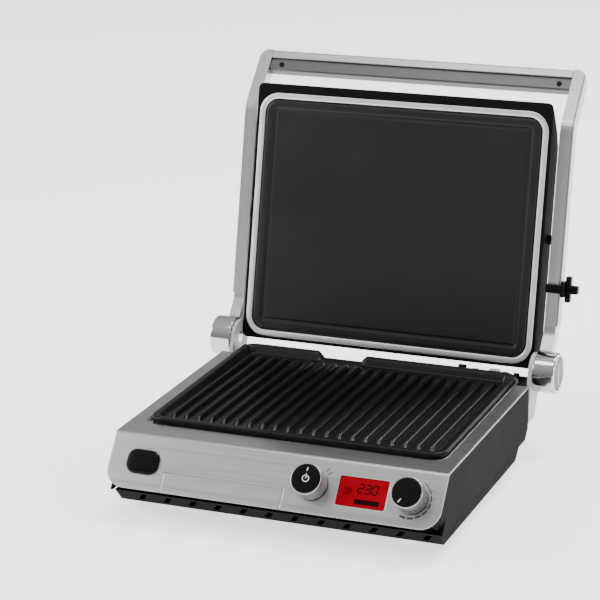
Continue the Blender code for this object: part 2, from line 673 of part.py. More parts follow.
def build_lid():
    """Lid frame, steel cover, upper reflector with its ring, element, release button and pivot pins."""
    middle = ring_length / 2
    low = -3.5
    lid_front = -1.5
    sections = [(lid_front, lid_length + low), (lid_front - 10, lid_length + low - 10.5),
                (lid_front - 20.5, lid_length + low - 23.5), (lid_front - lid_depth, lid_length + low - 40.5)]
    bm = bmesh.new()
    rings = []
    for height, end in sections:
        outline = rectangle(lid_width, end - low, 6.0, (0, (end + low) / 2), 3)
        rings.append([bm.verts.new((x, y, height)) for x, y in outline])
    count = len(rings[0])
    for first, second in zip(rings, rings[1:]):
        for k in range(count):
            bm.faces.new((first[k], first[(k + 1) % count], second[(k + 1) % count], second[k]))
    bm.faces.new(rings[0][::-1])
    bm.faces.new(rings[-1])
    frame = finish("lid_frame", bm, "black_plastic", lid)
    hollow = loft("lid_hollow", ring_width, ring_length, ring_corner,
                  [(6.2, 6), (6.2, -9.9), (10.5, -10.6), (14.5, -17.6), (24, -17.8), (36, -28.4), (44, -28.4)],
                  None, lid, (0, middle))
    boolean(frame, hollow)
    back = lid_front - lid_depth
    cover_path = [(4, back)] + [(end, height) for height, end in reversed(sections[1:])]
    cover_half = lid_width / 2 - 8
    cover = prism("lid_cover", strip(cover_path, -1.5 - gap, -gap), "x", -cover_half, cover_half,
                  "brushed_steel", lid)
    button_at = (-110.0, 200.0)
    for target in (frame, cover):
        boolean(target, prism(target.name + "_button_hole", rectangle(26.6, 14.6, 7, button_at), "z", back - 9,
                              -22, None, lid))
    button = empty("upper_button_axis", lid, (*button_at, 0))
    loft("release_button_upper", 26, 14, 6.7, [(1.6, back - 6.4), (0.6, back - 6), (0, back - 5), (0, back + 3.6)],
         "black_plastic", button)
    loft("upper_reflector", ring_width, ring_length, ring_corner,
         [(24, -16), (16, -15.8), (12.4, -9.6), (7.6, -8.8), (ring_band, -8), (ring_band, -0.5),
          (ring_band - 0.5, 0), (0.5, 0), (0, -0.5), (0, -1.2), (ring_band - 0.4, -1.2), (6.5, -2), (6.5, -8.8),
          (7.2, -9.6), (11.4, -10.3), (15.2, -16.8), (24, -17)], "reflector", lid, (0, middle))
    tube("element_upper", [(p.x, p.y, p.z) for p in element_path(0.92, 160, -11.9, 52)], 3.2, "element", lid,
         (0, middle - 166, 0))
    for side, sign in (("left", -1), ("right", 1)):
        inner, outer = sorted((sign * (lid_width / 2 + gap), sign * (arm_inner + 6)))
        turned("pivot_pin_" + side, rod(5.0, inner, outer), "x", (0, pivot_height, pivot_back),
               "black_plastic", lid, 20)


def arm_path():
    """Middle line of a handle arm above the hinge axis, as (height, back)."""
    middle = ring_back + arm_back
    turn = math.radians(top_lean)
    end = (arm_bend + top_length * math.cos(turn), middle - top_length * math.sin(turn))
    return [(12, -6), (40, middle), (arm_bend, middle), end]


def build_handle():
    """Arms with outer trim, crossbar with inlay and screws, hubs and end caps."""
    arm_outer = arm_inner + arm_width
    path = fillet_path(arm_path(), 26.0, 5)
    bend = arm_path()[2]
    upper = empty("handle_upper_zero", hinge, (0, *bend), -top_lean)
    for side, sign in (("left", -1), ("right", 1)):
        low, high = sorted((sign * arm_inner, sign * arm_outer))
        arm = prism("arm_" + side, strip(path, -arm_thick / 2, arm_thick / 2), "x", low, high, "brushed_steel", hinge)
        clear = turned("arm_hub_clear_" + side, rod(hub_radius + gap, *sorted((sign * 160, sign * 200))), "x",
                       (0, 0, 0), None, hinge, 40)
        boolean(arm, clear)
        hole = turned("arm_pivot_hole_" + side, rod(5.0 + gap, *sorted((sign * 170, sign * (arm_inner + 7)))), "x",
                      tuple(pivot.location / mm), None, hinge, 24)
        boolean(arm, hole)
        trim_low, trim_high = sorted((sign * (arm_outer + gap), sign * (arm_outer + gap + trim_thick)))
        trim_path = fillet_path([(48, arm_path()[1][1])] + arm_path()[2:], 26.0, 5)
        trim = prism("arm_trim_" + side, strip(trim_path, -arm_thick / 2 + 0.8, arm_thick / 2 - 0.8), "x",
                     trim_low, trim_high, "brushed_steel", hinge)
        radius = 10.0
        half = arm_outer + gap + trim_thick
        centre = (sign * (half - radius), top_length - radius)
        reach = radius + 0.05
        arc = []
        for step in range(6):
            angle = math.pi / 2 * step / 5
            arc.append((centre[0] + sign * reach * math.cos(angle), centre[1] + reach * math.sin(angle)))
        outline = arc + [(centre[0], top_length + 5), (sign * (half + 5), top_length + 5),
                         (sign * (half + 5), centre[1])]
        for target in (arm, trim):
            boolean(target, prism(target.name + "_corner", outline, "z", -12, 12, None, upper))
    half, depth = arm_inner - gap, arm_thick / 2
    low = top_length - crossbar_height
    bar = rounded([(low, -depth), (top_length, -depth), (top_length, depth), (low, depth)], [0, 2.5, 2.5, 1.0], 3)
    prism("crossbar", bar, "x", -half, half, "brushed_steel", upper)
    high, low, face = low - gap, low - gap - inlay_height, depth - 3.0
    inlay = rounded([(low, -depth), (high, -depth), (high, face), (low, face)], [3.0, 0, 0, 2.0], 3)
    prism("crossbar_inlay", inlay, "x", -half, half, "brushed_steel", upper)
    for side, sign in (("left", -1), ("right", 1)):
        turned("grip_screw_" + side, [(0, 0), (3.0, 0), (2.6, 0.9), (0, 1.3)], "z",
               (sign * 160, (low + high) / 2, face + gap), "clip_metal", upper, 18)
        bore = pin_radius + gap
        profile = [(0, 186.6), (bore, 186.6), (bore, arm_inner), (hub_radius - 1.2, arm_inner),
                   (hub_radius, arm_inner + 1.2), (hub_radius, hub_end - 1.2), (hub_radius - 1.2, hub_end),
                   (hub_radius - hub_rim, hub_end), (hub_radius - hub_rim, 190.6), (0, 190.6)]
        turned("hub_" + side, [(r, sign * a) for r, a in profile], "x", (0, 0, 0), "chrome", hinge, 28)
        cap_parent = empty("release_axis", hinge) if sign > 0 else hinge
        name = "hinge_release_button" if sign > 0 else "hub_cap_left"
        near, far = sorted((sign * 193.4, sign * (hub_end - 0.4)))
        cap = turned(name, rod(hub_radius - hub_rim - 0.4, near, far, 0.6), "x", (0, 0, 0), "black_plastic",
                     cap_parent, 24)
        reach = hub_radius - hub_rim - 3.6
        groove = box(name + "_groove", (min(sign * (hub_end - 1.6), sign * 205), -reach, -1.0),
                     (max(sign * (hub_end - 1.6), sign * 205), reach, 1.0), None, cap_parent)
        boolean(cap, groove)


def build_height_clip():
    """Height-control clip that slides on the right arm."""
    middle = ring_back + arm_back
    front = middle + arm_thick / 2 + gap
    side = arm_inner + arm_width + gap + trim_thick + gap
    axis = empty("height_clip_axis", hinge, (side, clip_height, middle))
    z = front - middle
    clip = box("height_clip", (arm_inner - side - 1.2, -4.5, z), (4.0, 4.5, z + 4.5), "black_plastic", axis, 0.8)
    parts = {
        "plate": ((0, -8.5, -z + 1), (4.4, 8.5, z + 3)),
        "lobes": ((3.5, -14, -4), (9.5, 14, 4)),
        "stub": ((3.5, -4.6, -4.4), (17.5, 4.6, 4.4)),
    }
    for label, (low, high) in parts.items():
        boolean(clip, box("clip_" + label, low, high, None, axis, 1.2), "UNION")
    return clip


def centre_footprint():
    """Move the root so that the origin lies under the middle of the footprint."""
    bpy.context.view_layer.update()
    graph = bpy.context.evaluated_depsgraph_get()
    low, high = Vector((1e9, 1e9)), Vector((-1e9, -1e9))
    for item in bpy.data.objects:
        if item.type not in {"MESH", "CURVE"} or item.hide_render:
            continue
        shape = item.evaluated_get(graph)
        mesh = shape.to_mesh()
        for vertex in mesh.vertices:
            place = shape.matrix_world @ vertex.co
            low = Vector((min(low.x, place.x), min(low.y, place.y)))
            high = Vector((max(high.x, place.x), max(high.y, place.y)))
        shape.to_mesh_clear()
    middle = (low + high) / 2
    root.location = (-middle.x, -middle.y, 0)
    bpy.context.view_layer.update()


build_housing()
build_bottom_cover()
build_deck()
build_pan()
build_base_inside()
build_base_outside()
build_knob("start", start_x, True)
build_knob("temp", temp_x, False)
build_buttons()
build_tray()
build_grill_plate()
build_griddle_plate()
build_lid()
build_handle()
build_height_clip()
centre_footprint()
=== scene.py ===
import math

import bmesh
import bpy
import numpy as np
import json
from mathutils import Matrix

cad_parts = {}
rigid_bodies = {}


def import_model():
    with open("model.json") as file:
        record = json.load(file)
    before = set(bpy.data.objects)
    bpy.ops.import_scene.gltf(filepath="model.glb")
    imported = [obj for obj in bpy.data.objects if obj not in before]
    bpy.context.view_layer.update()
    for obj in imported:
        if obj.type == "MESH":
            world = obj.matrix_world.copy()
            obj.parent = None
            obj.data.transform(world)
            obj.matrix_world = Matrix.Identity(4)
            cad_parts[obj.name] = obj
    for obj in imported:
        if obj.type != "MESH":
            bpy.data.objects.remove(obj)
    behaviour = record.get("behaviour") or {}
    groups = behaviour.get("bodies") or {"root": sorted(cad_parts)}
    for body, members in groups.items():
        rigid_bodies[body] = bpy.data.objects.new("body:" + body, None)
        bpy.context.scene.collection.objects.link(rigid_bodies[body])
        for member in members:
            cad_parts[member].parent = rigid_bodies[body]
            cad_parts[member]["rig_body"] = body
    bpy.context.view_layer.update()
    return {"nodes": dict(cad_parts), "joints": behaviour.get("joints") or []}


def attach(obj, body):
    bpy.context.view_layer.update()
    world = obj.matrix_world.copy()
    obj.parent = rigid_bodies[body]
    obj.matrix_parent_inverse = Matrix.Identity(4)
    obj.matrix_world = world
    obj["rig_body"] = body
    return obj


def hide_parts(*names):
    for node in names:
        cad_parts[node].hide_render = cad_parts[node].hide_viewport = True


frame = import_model()
nodes = frame["nodes"]
joints = {joint["name"]: joint for joint in frame["joints"]}
mm = 0.001
weldDistance = 2e-6             # rings that close to a point are welded within this, in metres
print("frame loaded:", len(nodes), "parts")


def axesFacing(normal):
    # x runs across, z is the face's normal, y is z cross x and runs up the face
    across = np.array([1.0, 0.0, 0.0])
    normal = np.array(normal, float)
    return np.array([across, np.cross(normal, across), normal])


levelAxes = np.eye(3)
panelAxes = axesFacing(joints["start_knob_spin"]["axis"])
lidAxes = axesFacing(joints["upper_plate_lift"]["axis"])
sideAxes = np.array([[0.0, 1.0, 0.0], [0.0, 0.0, 1.0], [1.0, 0.0, 0.0]])   # z runs across
lidLean = math.acos(lidAxes[1][2])


def bodyOf(node):
    return nodes[node]["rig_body"]


def spanOf(node, axes):
    # lowest and highest corner of a part measured along the given axes, in mm
    mesh = nodes[node].data
    points = np.empty(len(mesh.vertices) * 3)
    mesh.vertices.foreach_get("co", points)
    local = points.reshape(-1, 3) @ axes.T / mm
    return local.min(0), local.max(0)


def buildPiece(name, grids, axes, body, finish, replaced=(), crease=40):
    # every grid is a stack of closed rings, skinned with quads and closed at both ends
    points, faces, start = [], [], 0
    for grid in grids:
        rows, columns = grid.shape[:2]
        index = start + np.arange(rows * columns).reshape(rows, columns)
        beside = np.roll(index, -1, axis=1)
        quads = np.stack([index[:-1], beside[:-1], beside[1:], index[1:]], -1).reshape(-1, 4)
        faces += quads.tolist() + [index[0][::-1].tolist(), index[-1].tolist()]
        points.append(grid.reshape(-1, 3))
        start += rows * columns
    mesh = bpy.data.meshes.new(name)
    mesh.from_pydata((np.concatenate(points) @ axes * mm).tolist(), [], faces)
    tidy = bmesh.new()
    tidy.from_mesh(mesh)
    bmesh.ops.remove_doubles(tidy, verts=tidy.verts, dist=weldDistance)
    bmesh.ops.recalc_face_normals(tidy, faces=tidy.faces)
    tidy.to_mesh(mesh)
    tidy.free()
    mesh.polygons.foreach_set("use_smooth", np.ones(len(mesh.polygons), bool))
    mesh.set_sharp_from_angle(angle=math.radians(crease))
    piece = bpy.data.objects.new(name, mesh)
    bpy.context.scene.collection.objects.link(piece)
    mesh.materials.append(finish)
    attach(piece, body)
    if replaced:
        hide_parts(*replaced)
    return piece


def softened(corners, radii, steps=6):
    # a line through the corners; each inner corner becomes the curve (1-t)^2 a + 2t(1-t) c + t^2 b
    corners = np.array(corners, float)
    t = np.linspace(0.0, 1.0, steps + 1)[:, None]
    line = [corners[:1]]
    for before, corner, after, radius in zip(corners, corners[1:], corners[2:], radii):
        ends = []
        for other in (before, after):
            reach = np.linalg.norm(other - corner)
            ends.append(corner + (other - corner) * min(radius / reach, 0.5))
        curve = (1 - t) ** 2 * ends[0] + 2 * t * (1 - t) * corner + t ** 2 * ends[1]
        line.append(curve if radius else corner[None])
    line.append(corners[-1:])
    return np.concatenate(line)


def roundedOutline(width, length, radius, sidePoints=1, cornerPoints=14):
    # four quarter circles about the corner centres, with even points on the straights between them
    arcs = []
    for quarter, (right, up) in enumerate(((1, 1), (-1, 1), (-1, -1), (1, -1))):
        turn = np.linspace(0.0, math.pi / 2, cornerPoints) + quarter * math.pi / 2
        centre = (right * (width / 2 - radius), up * (length / 2 - radius))
        arcs.append(np.column_stack([centre[0] + radius * np.cos(turn), centre[1] + radius * np.sin(turn)]))
    t = np.linspace(0.0, 1.0, sidePoints + 2)[1:-1, None]
    parts = []
    for arc, following in zip(arcs, arcs[1:] + arcs[:1]):
        parts += [arc, arc[-1] * (1 - t) + following[0] * t]
    return np.concatenate(parts)


def loft(profile, width, length, radius, centre, sidePoints=1, cornerPoints=14):
    # one rounded outline for each (inset, height) of the profile
    rings = []
    for inset, height in profile:
        flat = roundedOutline(width - 2 * inset, length - 2 * inset, max(radius - inset, 1.2),
                              sidePoints, cornerPoints)
        rings.append(np.column_stack([flat + centre, np.full(len(flat), height)]))
    return np.array(rings)


def turned(profile, centre, steps=96):
    # each (radius, height) goes round the axis: x = radius cos a, y = radius sin a
    profile = np.array(profile, float)
    turn = np.arange(steps) * math.tau / steps
    radius, height = profile[:, :1], profile[:, 1:]
    return np.stack([centre[0] + radius * np.cos(turn), centre[1] + radius * np.sin(turn),
                     height + 0 * turn], -1)


def slab(outline, low, high):
    # a flat outline between two heights
    outline = np.array(outline, float)
    return np.array([np.column_stack([outline, np.full(len(outline), h)]) for h in (low, high)])


def arcBand(centre, inner, outer, begin, end, steps=24):
    # a strip between two radii; angles are clockwise from straight up, in degrees
    turn = np.radians(np.linspace(begin, end, steps))
    inner, outer = (np.linspace(*np.broadcast_to(r, 2), steps) for r in (inner, outer))
    there = np.column_stack([outer * np.sin(turn), outer * np.cos(turn)])
    back = np.column_stack([inner * np.sin(turn), inner * np.cos(turn)])[::-1]
    return np.concatenate([there, back]) + centre


def bar(start, end, width):
    # a straight stroke of a given width between two points
    start, end = np.array(start, float), np.array(end, float)
    along = (end - start) / np.linalg.norm(end - start)
    aside = np.array([-along[1], along[0]]) * width / 2
    return np.array([start - aside, end - aside, end + aside, start + aside])


def smoothPath(points, samples):
    # Catmull-Rom curve through the points
    points = np.array(points, float)
    padded = np.concatenate([2 * points[:1] - points[1:2], points, 2 * points[-1:] - points[-2:-1]])
    place = np.linspace(0, len(points) - 1.0001, samples)
    k = place.astype(int)
    t = (place - k)[:, None]
    a, b, c, d = padded[k], padded[k + 1], padded[k + 2], padded[k + 3]
    bend, twist = 2 * a - 5 * b + 4 * c - d, 3 * b - a - 3 * c + d
    return 0.5 * (2 * b + (c - a) * t + bend * t ** 2 + twist * t ** 3)


def swept(path, radius, sides=18):
    # a circle carried along a path that stays level: its plane is spanned by the sideways direction and z
    along = np.gradient(path, axis=0)
    along /= np.linalg.norm(along, axis=1)[:, None]
    aside = np.cross(along, [0.0, 0.0, 1.0])
    aside /= np.linalg.norm(aside, axis=1)[:, None]
    above = np.cross(aside, along)
    turn = np.arange(sides) * math.tau / sides
    return (path[:, None] + radius * (np.cos(turn)[None, :, None] * aside[:, None]
                                      + np.sin(turn)[None, :, None] * above[:, None]))


def ease(value):
    # 0 below 0, 1 above 1, and t^2 (3 - 2t) between
    t = np.clip(value, 0.0, 1.0)
    return t * t * (3 - 2 * t)


class Level:                      # a shader value that can be used in sums like a number
    def __init__(self, tree, socket):
        self.tree, self.socket = tree, socket

    def combined(self, operation, first, second):
        made = self.tree.nodes.new("ShaderNodeMath")
        made.operation = operation
        for slot, value in zip(made.inputs, (first, second)):
            if isinstance(value, Level):
                self.tree.links.new(value.socket, slot)
            else:
                slot.default_value = value
        return Level(self.tree, made.outputs[0])

    def __add__(self, other):
        return self.combined("ADD", self, other)

    def __sub__(self, other):
        return self.combined("SUBTRACT", self, other)

    def __rsub__(self, other):
        return self.combined("SUBTRACT", other, self)

    def __mul__(self, other):
        return self.combined("MULTIPLY", self, other)

    def __pow__(self, other):
        return self.combined("POWER", self, other)

    __radd__ = __add__
    __rmul__ = __mul__


class Finish:                     # a Principled material with named helpers
    def __init__(self, name, colour, roughness, metallic=0.0, settings=None):
        self.material = bpy.data.materials.new(name)
        self.material.use_nodes = True
        self.tree = self.material.node_tree
        self.shader = self.tree.nodes["Principled BSDF"]
        values = {"Base Color": (*colour, 1.0), "Roughness": roughness, "Metallic": metallic,
                  **(settings or {})}
        for key, value in values.items():
            self.shader.inputs[key].default_value = value
        self.material.diffuse_color = (*colour, 1.0)

    def node(self, kind, settings=None, inputs=None):
        made = self.tree.nodes.new(kind)
        for key, value in (settings or {}).items():
            setattr(made, key, value)
        for key, value in (inputs or {}).items():
            slot = made.inputs[key]
            if isinstance(value, Level):
                value = value.socket
            if isinstance(value, bpy.types.NodeSocket):
                self.tree.links.new(value, slot)
            else:
                slot.default_value = value
        return made

    def noise(self, cell, turn=(0.0, 0.0, 0.0), detail=3.0, roughness=0.6):
        # noise whose cells have the given size in metres along each axis
        spot = self.node("ShaderNodeTexCoord")
        placed = self.node("ShaderNodeMapping", {"vector_type": "TEXTURE"},
                           {"Vector": spot.outputs["Object"], "Rotation": turn, "Scale": cell})
        made = self.node("ShaderNodeTexNoise", None, {"Vector": placed.outputs[0], "Scale": 1.0,
                                                      "Detail": detail, "Roughness": roughness})
        return Level(self.tree, made.outputs[0])

    def drive(self, name, value):
        socket = value.socket if isinstance(value, Level) else value
        self.tree.links.new(socket, self.shader.inputs[name])

    def tint(self, level, first, second):
        # sockets 6 and 7 are the colour inputs, output 2 the mixed colour
        made = self.node("ShaderNodeMix", {"data_type": "RGBA"},
                         {0: level, 6: (*first, 1.0), 7: (*second, 1.0)})
        self.drive("Base Color", made.outputs[2])

    def relief(self, height, distance, strength, edge):
        # fine bump on top of edges that are rounded by the given radius
        inputs = {"Height": height, "Distance": distance, "Strength": strength}
        if edge:
            rounding = self.node("ShaderNodeBevel", {"samples": 4}, {"Radius": edge})
            inputs["Normal"] = rounding.outputs[0]
        made = self.node("ShaderNodeBump", None, inputs)
        self.drive("Normal", made.outputs[0])


def shade(colour, factor):
    return tuple(min(1.0, value * factor) for value in colour)


def brushedMetal(name, colour, roughness, cell, turn=(0.0, 0.0, 0.0), edge=0.0008, contrast=0.10):
    finish = Finish(name, colour, roughness, 1.0)
    lines = finish.noise(cell, turn, 4.0, 0.75)
    broad = finish.noise(tuple(size * 4 for size in cell), turn, 3.0)
    grain = lines * 0.5 + broad * 0.5
    finish.tint(grain, shade(colour, 1 - contrast), shade(colour, 1 + contrast))
    finish.drive("Roughness", grain * 0.22 + (roughness - 0.11))
    finish.relief(lines, 0.0002, 0.10, edge)
    return finish.material


def mouldedPlastic(name, colour, roughness, grainSize=0.0006, strength=0.18, edge=0.0008, gloss=0.5):
    finish = Finish(name, colour, roughness, 0.0, {"Specular IOR Level": gloss})
    grain = finish.noise((grainSize,) * 3, detail=2.0)
    cloud = finish.noise((0.05,) * 3, detail=3.0)
    finish.tint(cloud, shade(colour, 0.8), shade(colour, 1.25))
    finish.drive("Roughness", cloud * 0.14 + grain * 0.06 + (roughness - 0.10))
    finish.relief(grain, 0.0002, strength, edge)
    return finish.material


def smoothMetal(name, colour, roughness, spread=0.08, edge=0.0006, warm=None):
    finish = Finish(name, colour, roughness, 1.0)
    cloud = finish.noise((0.03,) * 3, detail=4.0)
    fine = finish.noise((0.0012,) * 3, detail=2.0)
    finish.tint(cloud, shade(colour, 0.88), warm or shade(colour, 1.08))
    finish.drive("Roughness", cloud * spread + fine * spread * 0.5 + (roughness - spread * 0.75))
    finish.relief(fine, 0.00008, 0.08, edge)
    return finish.material


acrossGrain = (0.16, 0.0012, 0.0012)     # brushing lines: long one way, fine the other two, in metres
uprightGrain = (0.0012, 0.0012, 0.16)
deckSteel = brushedMetal("deckSteel", (0.46, 0.46, 0.462), 0.32, acrossGrain, edge=0.0022, contrast=0.28)
armSteel = brushedMetal("armSteel", (0.50, 0.50, 0.502), 0.30, uprightGrain, (-lidLean, 0.0, 0.0),
                        contrast=0.24)
barSteel = brushedMetal("barSteel", (0.54, 0.54, 0.542), 0.30, acrossGrain, contrast=0.24)
# the crossbar's recessed inlay: the crossbar's brushed steel darkened to about a quarter, painted shade of
# the recess
inlaySteelPaintedShade = brushedMetal("inlaySteelPaintedShade", (0.13, 0.13, 0.132), 0.36, acrossGrain, contrast=0.16)
coverSteel = brushedMetal("coverSteel", (0.46, 0.46, 0.462), 0.34, acrossGrain, contrast=0.24)
skirtSteel = smoothMetal("skirtSteel", (0.52, 0.52, 0.522), 0.25, 0.08, 0)
hubChrome = smoothMetal("hubChrome", (0.55, 0.55, 0.555), 0.13, 0.05, 0)
ringSatin = smoothMetal("ringSatin", (0.70, 0.70, 0.70), 0.42, 0.10, 0)
panMetal = smoothMetal("panMetal", (0.50, 0.50, 0.502), 0.32, 0.14, 0.0015)
clipSteel = smoothMetal("clipSteel", (0.66, 0.65, 0.64), 0.24, 0.10)
copperedSteel = smoothMetal("copperedSteel", (0.45, 0.30, 0.24), 0.32, 0.12, 0.0006, (0.62, 0.52, 0.46))
casePlastic = mouldedPlastic("casePlastic", (0.005, 0.005, 0.0052), 0.60, gloss=0.03)
glossBlack = mouldedPlastic("glossBlack", (0.003, 0.003, 0.0034), 0.26, 0.0010, 0.05, gloss=0.10)
buttonBlack = mouldedPlastic("buttonBlack", (0.002, 0.002, 0.0023), 0.36, 0.0006, 0.10, 0, 0.08)
hubDisc = mouldedPlastic("hubDisc", (0.016, 0.016, 0.017), 0.30, 0.0010, 0.06, gloss=0.4)
bracketGrey = mouldedPlastic("bracketGrey", (0.42, 0.42, 0.43), 0.42, 0.0007, 0.12)
footRubber = mouldedPlastic("footRubber", (0.72, 0.72, 0.70), 0.55, 0.0008, 0.2)
markWhite = mouldedPlastic("markWhite", (0.78, 0.78, 0.78), 0.5, 0.001, 0.05, 0)
markDark = mouldedPlastic("markDark", (0.02, 0.02, 0.02), 0.5, 0.001, 0.05, 0)
figureDark = mouldedPlastic("figureDark", (0.010, 0.0006, 0.0008), 0.4, 0.001, 0.03, 0, 0.05)
boardGreen = mouldedPlastic("boardGreen", (0.02, 0.12, 0.06), 0.45, 0.0015, 0.4, 0)


def coatedMetal(name, colour, roughness, gloss):
    # cast metal under a matt black coating with a fine speckle
    finish = Finish(name, colour, roughness, 0.0, {"Specular IOR Level": gloss})
    speckle = finish.noise((0.0007,) * 3, detail=2.0, roughness=0.7)
    cloud = finish.noise((0.07,) * 3, detail=3.0)
    finish.tint(cloud * 0.6 + speckle * 0.4, shade(colour, 0.75), shade(colour, 1.3))
    finish.drive("Roughness", cloud * 0.16 + speckle * 0.10 + (roughness - 0.13))
    finish.relief(speckle, 0.0002, 0.12, 0)
    return finish.material


plateCoating = coatedMetal("plateCoating", (0.004, 0.004, 0.0042), 0.34, 0.20)
upperCoating = coatedMetal("upperCoating", (0.007, 0.007, 0.0072), 0.40, 0.26)


def sheathMetal(name, colour):
    # heat-darkened tube: dull, with browner and greyer patches
    finish = Finish(name, colour, 0.46, 0.35)
    patch = finish.noise((0.012,) * 3, detail=4.0)
    fine = finish.noise((0.0009,) * 3, detail=2.0)
    finish.tint(patch ** 1.6, shade(colour, 0.5), (0.075, 0.068, 0.064))
    finish.drive("Roughness", patch * 0.2 + 0.34)
    finish.relief(fine, 0.0002, 0.2, 0)
    return finish.material


elementSheath = sheathMetal("elementSheath", (0.022, 0.022, 0.024))


def litLens(name, colour):
    # lit display window: even red with faint random brighter and darker patches
    finish = Finish(name, colour, 0.18, 0.0, {"Specular IOR Level": 0.05,
                                              "Emission Color": (0.8, 0.0, 0.004, 1.0),
                                              "Emission Strength": 0.06})
    cloud = finish.noise((0.03,) * 3, detail=1.0)
    finish.tint(cloud, shade(colour, 0.85), shade(colour, 1.15))
    finish.drive("Roughness", cloud * 0.06 + 0.15)
    return finish.material


lensRed = litLens("lensRed", (0.22, 0.0, 0.006))
print("finishes made:", len(bpy.data.materials))

finishOf = {
    "fascia_deck": deckSteel, "drip_tray_front": deckSteel, "base_housing": casePlastic,
    "bottom_cover": casePlastic, "drip_tray": casePlastic, "reflector_pan": panMetal,
    "thermostat_bracket": clipSteel, "thermostat_lower": clipSteel, "control_board": boardGreen,
    "screen_module": boardGreen, "screen_lens": lensRed, "start_encoder": casePlastic,
    "temp_encoder": casePlastic, "foot_front_left": footRubber, "foot_front_right": footRubber,
    "foot_rear_left": footRubber, "foot_rear_right": footRubber, "hinge_bracket_left": bracketGrey,
    "hinge_bracket_right": bracketGrey, "hinge_pin_left": clipSteel, "hinge_pin_right": clipSteel,
    "cord_gland": casePlastic, "wire_guard": casePlastic, "conduit_clip": bracketGrey,
    "release_spring_lower": clipSteel, "release_latch_lower": casePlastic, "arm_left": armSteel,
    "arm_right": armSteel, "arm_trim_left": armSteel, "arm_trim_right": armSteel, "crossbar": barSteel,
    # the recessed inlay gets the steel that is darkened as painted shade
    "crossbar_inlay": inlaySteelPaintedShade, "grip_screw_left": glossBlack, "grip_screw_right": glossBlack,
    "lid_frame": casePlastic, "lid_cover": coverSteel, "pivot_pin_left": casePlastic,
    "pivot_pin_right": casePlastic, "start_shaft": clipSteel, "temp_shaft": clipSteel,
    "height_clip": glossBlack, "element_clip_1": clipSteel, "element_clip_2": copperedSteel,
    "element_clip_3": clipSteel, "element_clip_4": clipSteel,
}
for node, finish in finishOf.items():
    for place in nodes[node].material_slots:
        place.material = finish
print("parts finished:", len(finishOf))

lowerPlate = {"corner": 16.0, "band": 7.0, "frontFloor": -4.6, "rearFloor": -8.4, "under": 2.0,
              "ribs": 21, "ribPitch": 13.8, "ribWidth": 6.6, "ribStart": 15.0, "ribEnd": 22.0,
              "ribFall": 2.0, "ribEase": 9.0, "drainGap": (-69.0, -15.0), "drainEase": 5.0,
              "lugAt": -6.3, "lugWidth": 17.0, "bumps": (-121.0, -107.0), "bumpRise": 0.2}


def makeLowerPlate(v):
    low, high = spanOf("grill_plate", levelAxes)
    rim = high[2] - v["bumpRise"]
    width, length = high[0] - low[0], high[1] - low[1]
    centre = (low + high)[:2] / 2
    half = length / 2
    floor = (v["frontFloor"] + v["rearFloor"]) / 2
    slope = (v["rearFloor"] - v["frontFloor"]) / length
    profile = softened(
        [(24, floor - v["under"]), (15.5, floor - v["under"] + 0.8), (9, -v["band"]), (0, -v["band"]),
         (0, 0), (7.2, 0), (12.2, floor + 0.4), (15.0, floor), (24, floor)],
        (1.5, 1.5, 0.8, 2.4, 2.2, 1.6, 1.2))
    plate = loft(profile, width, length, v["corner"], (0, 0), 90, 12)
    x, y, z = plate[..., 0], plate[..., 1], plate[..., 2]
    inner = ease((profile[:, :1] - 9.0) / 3.5)
    z += inner * slope * y
    # the drain gap: rear edge pressed down to the floor's level between the two ends
    first, last = v["drainGap"]
    wide = v["drainEase"]
    dip = ease((x - first) / wide) * ease((last - x) / wide) * ease((y - half + 20) / 6)
    top = np.arange(len(profile))[:, None] >= len(profile) // 3
    sill = np.where(top, v["rearFloor"] + 0.6, v["rearFloor"] - 1.2)
    z += dip * (np.minimum(z, sill) - z)
    grids = [plate]
    # ribs: height over the floor times (1 - t^4) across and eased to nothing at both ends
    along = np.linspace(-half + v["ribStart"], half - v["ribEnd"], 70)[:, None]
    t = np.linspace(-1.0, 1.0, 17)[None, :]
    foot = floor + slope * along
    crest = -0.8 - v["ribFall"] * (along + half) / length
    end = ease((along - along[0]) / v["ribEase"] + 0.02) * ease((along[-1] - along) / v["ribEase"] + 0.02)
    bell = (1 - np.abs(t) ** 2.6) ** 1.15
    ribTop = foot - 0.25 + (crest - foot + 0.25) * end * bell
    for number in range(v["ribs"]):
        middle = (number - (v["ribs"] - 1) / 2) * v["ribPitch"]
        across = middle + t * v["ribWidth"] / 2 + 0 * along
        upper = np.stack([across, along + 0 * t, ribTop], -1)
        lower = np.stack([across, along + 0 * t, foot - 0.9 + 0 * t], -1)[:, ::-1]
        grids.append(np.concatenate([upper, lower], 1))
    lug = softened([(-v["lugWidth"] / 2, -3), (-v["lugWidth"] / 2 + 1.5, low[2] - rim),
                    (v["lugWidth"] / 2 - 1.5, low[2] - rim), (v["lugWidth"] / 2, -3)], (2, 2))
    lugGrid = slab(lug, 0.0, 3.2)[..., [0, 2, 1]] + [v["lugAt"], -half + 0.25, 0]
    grids.append(lugGrid)
    bump = softened([(0, -4), (2.4, -4), (2.4, v["bumpRise"]), (0, v["bumpRise"])], (0.2, 0.8))
    grids += [turned(bump, (at, half - 4), 20) for at in v["bumps"]]
    grids = [grid + [*centre, rim] for grid in grids]
    buildPiece("lowerPlateRibbed", grids, levelAxes, "lower_plate", plateCoating,
               ("grill_plate",), 50)


makeLowerPlate(lowerPlate)

upperPlate = {"corner": 14.8, "rimWidth": 9.6, "rimRise": 0.7, "grooveDepth": 2.0, "grooveEnd": 13.4,
              "faceLevel": -0.3}
ringBand = {"corner": 22.0, "band": 6.9, "dishDepth": 16.0}


